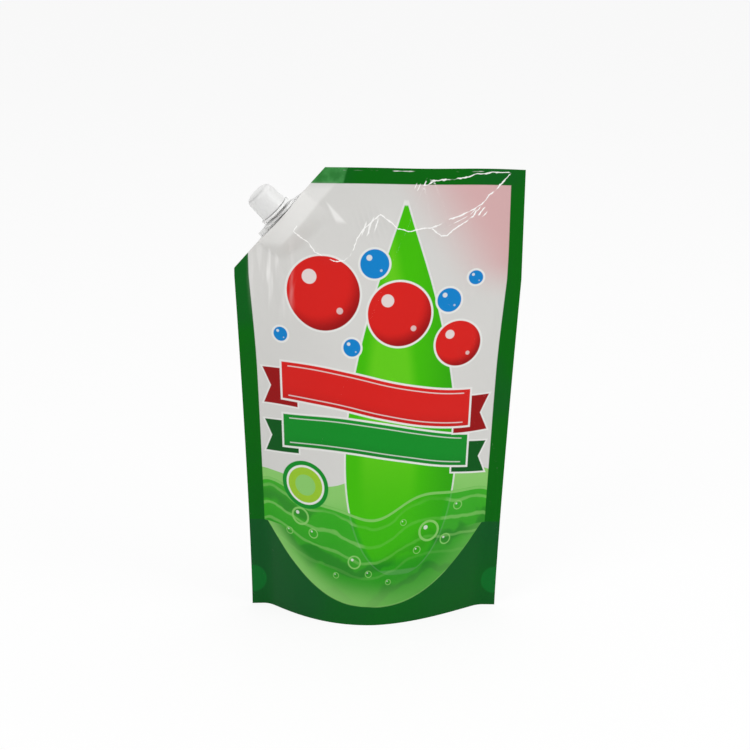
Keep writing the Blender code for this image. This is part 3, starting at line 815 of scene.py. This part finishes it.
def glare_and_weld_patches(finish, u, v, uneven):
    """Painted highlights: glare on the rolled upper edge in stretches, soft streaks of sheen below
    the spout and a bright blade of sheen beside its boat; and whiter film where it is welded to the
    boat."""
    # Painted highlights on the top edge, below the spout and beside the boat, then the whiter weld
    edge = ((v - 293.3).size() * -1.0 + uneven * 0.9).step(0.0, 0.35) * u.step(80.0, 77.0)
    edge = edge * finish.noise(60.0, 2.0).step(0.50, 0.58) * 0.8
    upright = finish.place((1.0, 1.0, 0.10), (0.0, 0.12, 0.0))
    streaks = finish.noise(190.0, 2.0, upright).step(0.46, 0.66)
    streaks = streaks * u.hump(-66.0, 18.0) * v.hump(228.0, 36.0) * 0.8
    blade = (u + v * 0.72 - 164.5).size() * -1.0 + (-v + 278.0) * 0.24
    blade = blade.step(0.0, 2.2) * v.step(259.0, 263.0) * v.step(275.0, 271.0) * 0.6
    across = u + TOP_HALF_WIDTH * MILLIMETRES
    inward = across * -OUTWARD[0] - (v - CORNER_FOOT * MILLIMETRES) * OUTWARD[2]
    weld = inward.step(13.0, 10.5) * v.step(243.0, 250.0) * v.step(287.0, 280.0) * 0.35
    return edge.most(streaks).most(blade).most(weld)


def add_crease_glints(finish, colour, u, v):
    """Painted highlights of the slack film: glints along the creases, strokes in the gathers and
    soft patches.
    """
    uneven = finish.noise(260.0, 3.0)
    breaks = finish.noise(95.0, 2.0)
    marks = crease_glint_lines(finish, u, v, uneven, breaks)
    marks = marks.most(gather_glints(u, v, uneven, breaks))
    # The painted highlights are laid over the print in near-white
    return finish.mixed(colour, CREASE_GLINT_WHITE, marks.most(glare_and_weld_patches(finish, u, v, uneven)))


def add_border(finish, colour, u, v):
    """The green border on the side and top welds, whose end beside the cut corner lets more light
    through."""
    side = u.size() + v.step(250.0, 160.0) * BORDER_SPREAD - BORDER_EDGE
    top = v - (HEIGHT - SEAL) * MILLIMETRES
    green = finish.mixed(BORDER_GREEN, DEEP_GREEN, finish.noise(18.0, 2.0).step(0.45, 0.65) * 0.5)
    colour = finish.mixed(colour, green, side.most(top).ink())
    mottle = finish.noise(150.0, 3.0).step(0.35, 0.65) * 0.30 + 0.30
    pale_end = (-u - 22.0 + (v - 285.0) * 0.25).step(-0.8, 0.8) * top.ink()
    return finish.mixed(colour, THIN_GREEN, pale_end * mottle)


def add_foot(finish, colour, u, v):
    """The foot's double film: solid green outside the curved seal, with a round spot at each end, a
    thin painted highlight along the seal's edge, and paler liquid inside it."""
    low = (-v + FOOT_TOP).ink()
    inside = v - ((u.size() / FOOT_REACH) ** SKIRT_POWER * FOOT_RISE + FOOT_LOW)
    rim = inside.step(20.0, 0.0) * (u.step(50.0, -50.0) * 0.7 + 0.3) * 0.85
    colour = finish.mixed(colour, PALE_GREEN, rim * (u.size() * -1.0 + FOOT_REACH).ink() * low)
    tone = finish.noise(14.0, 2.0).step(0.35, 0.7)
    double = finish.mixed(DEEP_GREEN, BORDER_GREEN, tone * 0.6)
    colour = finish.mixed(colour, double, (-inside).least(-v + FOOT_TOP).ink())
    for centre in SPOT_CENTRES:
        spot = disc(u, v, centre, SPOT_RADIUS).step(-0.6, 0.9)
        colour = finish.mixed(colour, SPOT_GREEN, spot * 0.8)
    # A painted highlight along the curved seal's edge, broken in stretches
    line = (inside.size() * -1.0 + 0.45).ink() * low * finish.noise(40.0, 2.0).step(0.4, 0.6)
    return finish.mixed(colour, PALE_GREEN, line * 0.5)


def film_finish(name, printing, with_glints):
    """Glossy laminate: the printing, the border, the foot's double film, the creases' painted
    highlights and a fine unevenness that breaks up the shine."""
    finish = Finish(name, PANEL_WHITE, 0.22)
    u, v = finish.map_fields("FlatFilm")
    colour = printing(finish, u, v)
    colour = add_border(finish, colour, u, v)
    colour = add_foot(finish, colour, u, v)
    # Painted highlights of the creases, on the front only
    if with_glints:
        colour = add_crease_glints(finish, colour, u, v)
    finish.paint(colour)
    unevenness = finish.noise(38.0, 3.0)
    finish.shine(unevenness * 0.12 + 0.18)
    finish.relief(unevenness, 0.0006)
    finish.level({"Specular IOR Level": 0.08})
    return finish.material


def gusset_finish():
    """The gusset's film from below: green, a little less glossy."""
    finish = Finish("gusset_film", BORDER_GREEN, 0.35)
    patches = finish.noise(60.0, 3.0)
    finish.paint(finish.mixed(BORDER_GREEN, DEEP_GREEN, patches))
    finish.shine(patches * 0.15 + 0.25)
    finish.relief(patches, 0.0005)
    return finish.material


def build_film():
    """The printed film pack, in place of the frame's plain one."""
    mesh = film_mesh()
    flat_film_map(mesh, "FlatFilm")
    crease_attributes(mesh)
    front = film_finish("front_print", print_front, True)
    back = film_finish("back_print", print_back, False)
    film = add_piece("pouch_film", mesh, front, back, gusset_finish())
    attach(film, "pouch_and_spout")
    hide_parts("pouch")
    return film


SPOUT_FOOT = np.array((-TOP_HALF_WIDTH, 0.0, CORNER_FOOT)) + ALONG * SPOUT_ALONG
SPOUT_AXIS = OUTWARD * math.cos(LEAN) + ALONG * math.sin(LEAN)
SPOUT_LONG = ALONG * math.cos(LEAN) - OUTWARD * math.sin(LEAN)
SIDEWAYS = np.cross(OUTWARD, ALONG)


def on_spout(along, across, out):
    """Places in the spout's own frame as points of the row frame, for arrays of any shape."""
    parts = along[..., None] * SPOUT_LONG + across[..., None] * SIDEWAYS
    return SPOUT_FOOT + parts + out[..., None] * SPOUT_AXIS


def turned_grid(profile, steps):
    """A profile of (radius, height) carried round the spout's axis, as a grid of points."""
    radius, height = np.array(profile).T[:, :, None]
    turn = np.linspace(0.0, 2 * math.pi, steps + 1)
    return on_spout(radius * np.cos(turn), radius * np.sin(turn), height + 0.0 * turn)


def arc(centre, radius, start, end, steps):
    """Points on an arc of a profile, with angles in degrees from the radius axis."""
    turn = np.radians(np.linspace(start, end, steps + 1))
    return [(centre[0] + radius * math.cos(t), centre[1] + radius * math.sin(t)) for t in turn]


def thread_mesh(name, radius, foot, turns, outwards):
    """A screw thread: a rounded ridge carried along a right-handed helix round the spout's axis,
    which fades into the wall at both ends. outwards is 1 on the neck and -1 inside the cap."""
    turn = np.linspace(0.0, turns * 2 * math.pi, int(turns * THREAD_STEPS) + 1)[:, None]
    ends = np.clip(np.minimum(turn, turn[-1] - turn) / 0.5, 0.0, 1.0)
    section = np.linspace(0.0, 2 * math.pi, THREAD_SECTION + 1)
    crest = THREAD_DEPTH * ends * 0.5 * (1.0 + np.cos(section)) - 0.0001
    half_foot = 0.5 * THREAD_FOOT * (0.2 + 0.8 * ends)
    around = radius + outwards * crest
    height = foot + THREAD_PITCH * turn / (2 * math.pi) + half_foot * np.sin(section)
    points = on_spout(around * np.cos(turn), around * np.sin(turn), height)
    return grid_mesh(name, [(points, 0)])


def milky(finish, weight, depth):
    """Let light into a plastic, by a weight and the depth that it reaches."""
    finish.level({"Subsurface Weight": weight, "Subsurface Scale": depth})
    finish.level({"Subsurface Radius": (1.0, 1.0, 1.0)})


def white_plastic():
    """Smooth white moulded plastic with a faint unevenness in its shine."""
    finish = Finish("white_moulding", linear(226, 226, 224), 0.3)
    grain = finish.noise(900.0, 2.0)
    finish.paint(finish.mixed(linear(222, 222, 221), linear(231, 231, 230), grain))
    finish.shine(grain * 0.12 + 0.28)
    finish.relief(grain, 0.00003)
    milky(finish, 0.4, 0.002)
    return finish.material


def build_cap():
    """The cap: a tapered cup with a rounded end, turned as one closed profile, with its thread."""
    top_radius = CAP_RADIUS - CAP_TAPER
    corner = (top_radius - CAP_ROUNDING, CAP_LENGTH - CAP_CROWN - CAP_ROUNDING)
    ceiling = CAP_LENGTH - CAP_END
    profile = [
        (0.0, ceiling),
        *arc((CAP_BORE_RADIUS - RIM_EDGE, ceiling - RIM_EDGE), RIM_EDGE, 90.0, 0.0, 5),
        (CAP_BORE_RADIUS, RIM_EDGE),
        *arc((CAP_RADIUS - RIM_EDGE, RIM_EDGE), RIM_EDGE, -90.0, 0.0, 5),
        *arc(corner, CAP_ROUNDING, 0.0, 85.0, 16),
        (CAP_ROUNDING * 0.25, CAP_LENGTH - CAP_CROWN * 0.1),
        (0.0, CAP_LENGTH),
    ]
    profile = [(radius, height + CAP_FOOT) for radius, height in profile]
    mesh = grid_mesh("cap_shell", [(turned_grid(profile, CAP_STEPS), 0)])
    moulding = white_plastic()
    cap = add_piece("cap_shell", mesh, moulding)
    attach(cap, "screw_cap")
    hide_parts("cap")
    foot = NECK_FOOT + THREAD_START + THREAD_PITCH / 2
    mesh = thread_mesh("cap_thread", CAP_BORE_RADIUS, foot, 1.5, -1.0)
    thread = add_piece("cap_thread", mesh, moulding)
    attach(thread, "screw_cap")


def smooth_copy(node, name, material):
    """A welded, smooth-shaded copy of a frame node, which stands for it."""
    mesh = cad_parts[node].data.copy()
    mesh.name = name
    mesh.materials.clear()
    bm = bmesh.new()
    bm.from_mesh(mesh)
    bmesh.ops.remove_doubles(bm, verts=bm.verts, dist=1e-6)
    bm.to_mesh(mesh)
    bm.free()
    piece = add_piece(name, mesh, material)
    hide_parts(node)
    return piece


def build_spout():
    """The spout's moulding, smooth, with its thread."""
    finish = Finish("milky_moulding", linear(230, 230, 228), 0.35)
    grain = finish.noise(700.0, 2.0)
    finish.paint(finish.mixed(linear(227, 227, 225), linear(234, 234, 232), grain))
    finish.shine(grain * 0.12 + 0.38)
    milky(finish, 1.0, 0.009)
    spout = smooth_copy("spout", "spout_moulding", finish.material)
    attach(spout, "pouch_and_spout")
    foot = NECK_FOOT + THREAD_START
    mesh = thread_mesh("neck_thread", NECK_RADIUS, foot, 2.0, 1.0)
    thread = add_piece("neck_thread", mesh, finish.material)
    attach(thread, "pouch_and_spout")


def build_liner():
    """The foamed disc in the cap, with fine cells."""
    finish = Finish("foam_disc", linear(205, 205, 196), 0.8)
    cells = finish.noise(2500.0, 3.0)
    finish.paint(finish.mixed(linear(198, 198, 190), linear(214, 214, 206), cells))
    finish.relief(cells, 0.0001)
    liner = smooth_copy("cap_liner", "foam_disc", finish.material)
    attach(liner, "sealing_disc")


def mix_white(tree, share, plain, white, surface):
    """A shader and a white one mixed into an output, by the share of white."""
    mix = tree.nodes.new("ShaderNodeMixShader")
    for place, socket in enumerate((share, plain, white)):
        tree.links.new(socket, mix.inputs[place])
    tree.links.new(mix.outputs[0], surface)


def white_world():
    """A world that lights softly and looks white."""
    world = bpy.data.worlds.new("studio")
    bpy.context.scene.world = world
    world.use_nodes = True
    tree = world.node_tree
    white = tree.nodes["Background"]
    plain = tree.nodes.new("ShaderNodeBackground")
    for node, strength in ((white, 1.0), (plain, WORLD_LIGHT)):
        node.inputs["Color"].default_value = (1.0, 1.0, 1.0, 1.0)
        node.inputs["Strength"].default_value = strength
    surface = tree.nodes["World Output"].inputs["Surface"]
    mix_white(tree, white_ray(tree), plain.outputs[0], white.outputs[0], surface)


def pale_floor():
    """A matt floor that looks nearly white and keeps the pouch's shadow."""
    mesh = bpy.data.meshes.new("floor")
    sides = [(-1, -1), (1, -1), (1, 1), (-1, 1)]
    corners = [(x * FLOOR_REACH, y * FLOOR_REACH, 0.0) for x, y in sides]
    mesh.from_pydata(corners, [], [(0, 1, 2, 3)])
    floor = bpy.data.objects.new("floor", mesh)
    bpy.context.collection.objects.link(floor)
    finish = Finish("floor", (0.95, 0.95, 0.95), 0.9)
    tree = finish.tree
    glow = tree.nodes.new("ShaderNodeEmission")
    glow.inputs["Strength"].default_value = 1.0
    share = Field(tree, white_ray(tree)) * FLOOR_WHITE
    surface = tree.nodes["Material Output"].inputs["Surface"]
    mix_white(tree, share.socket, finish.shader.outputs[0], glow.outputs[0], surface)
    mesh.materials.append(finish.material)


def studio():
    """A white floor and world, and three soft lamps."""
    bpy.context.scene.view_settings.view_transform = "Standard"
    white_world()
    pale_floor()
    lamp("key", (-0.9, -1.1, 1.2), 0.9, 9.5)
    lamp("side", (1.1, -0.5, 0.9), 0.7, 6.0)
    lamp("top", (0.1, 0.3, 1.5), 0.9, 6.0)


def white_ray(tree):
    """1 for rays from the camera, off gloss or through clear film, so that all see a white room."""
    path = tree.nodes.new("ShaderNodeLightPath")
    names = ("Is Camera Ray", "Is Glossy Ray", "Is Transmission Ray")
    camera_ray, glossy, clear = [Field(tree, path.outputs[name]) for name in names]
    return camera_ray.most(glossy).most(clear).socket


def lamp(name, place, size, watts):
    """A square soft lamp that faces the pouch's middle."""
    data = bpy.data.lights.new(name, "AREA")
    data.size = size
    data.energy = watts
    thing = bpy.data.objects.new(name, data)
    bpy.context.collection.objects.link(thing)
    aim = Vector((0.0, 0.0, HEIGHT / 2)) - Vector(place)
    turn = aim.to_track_quat("-Z", "Y").to_matrix().to_4x4()
    thing.matrix_world = Matrix.Translation(place) @ turn


def camera():
    """The camera at the photograph's angle, looking along +Y and down."""
    data = bpy.data.cameras.new("camera")
    data.lens = CAMERA_LENS
    data.sensor_width = SENSOR_WIDTH
    data.sensor_fit = "HORIZONTAL"
    thing = bpy.data.objects.new("camera", data)
    bpy.context.collection.objects.link(thing)
    down = math.radians(CAMERA_ELEVATION)
    look = Vector((0.0, math.cos(down), -math.sin(down)))
    place = Vector(CAMERA_AIM) - look * CAMERA_DISTANCE
    turn = look.to_track_quat("-Z", "Y").to_matrix().to_4x4()
    roll = Matrix.Rotation(math.radians(CAMERA_ROLL), 4, "Z")
    thing.matrix_world = Matrix.Translation(place) @ turn @ roll
    bpy.context.scene.camera = thing


camera()
build_film()
build_cap()
build_spout()
build_liner()
studio()
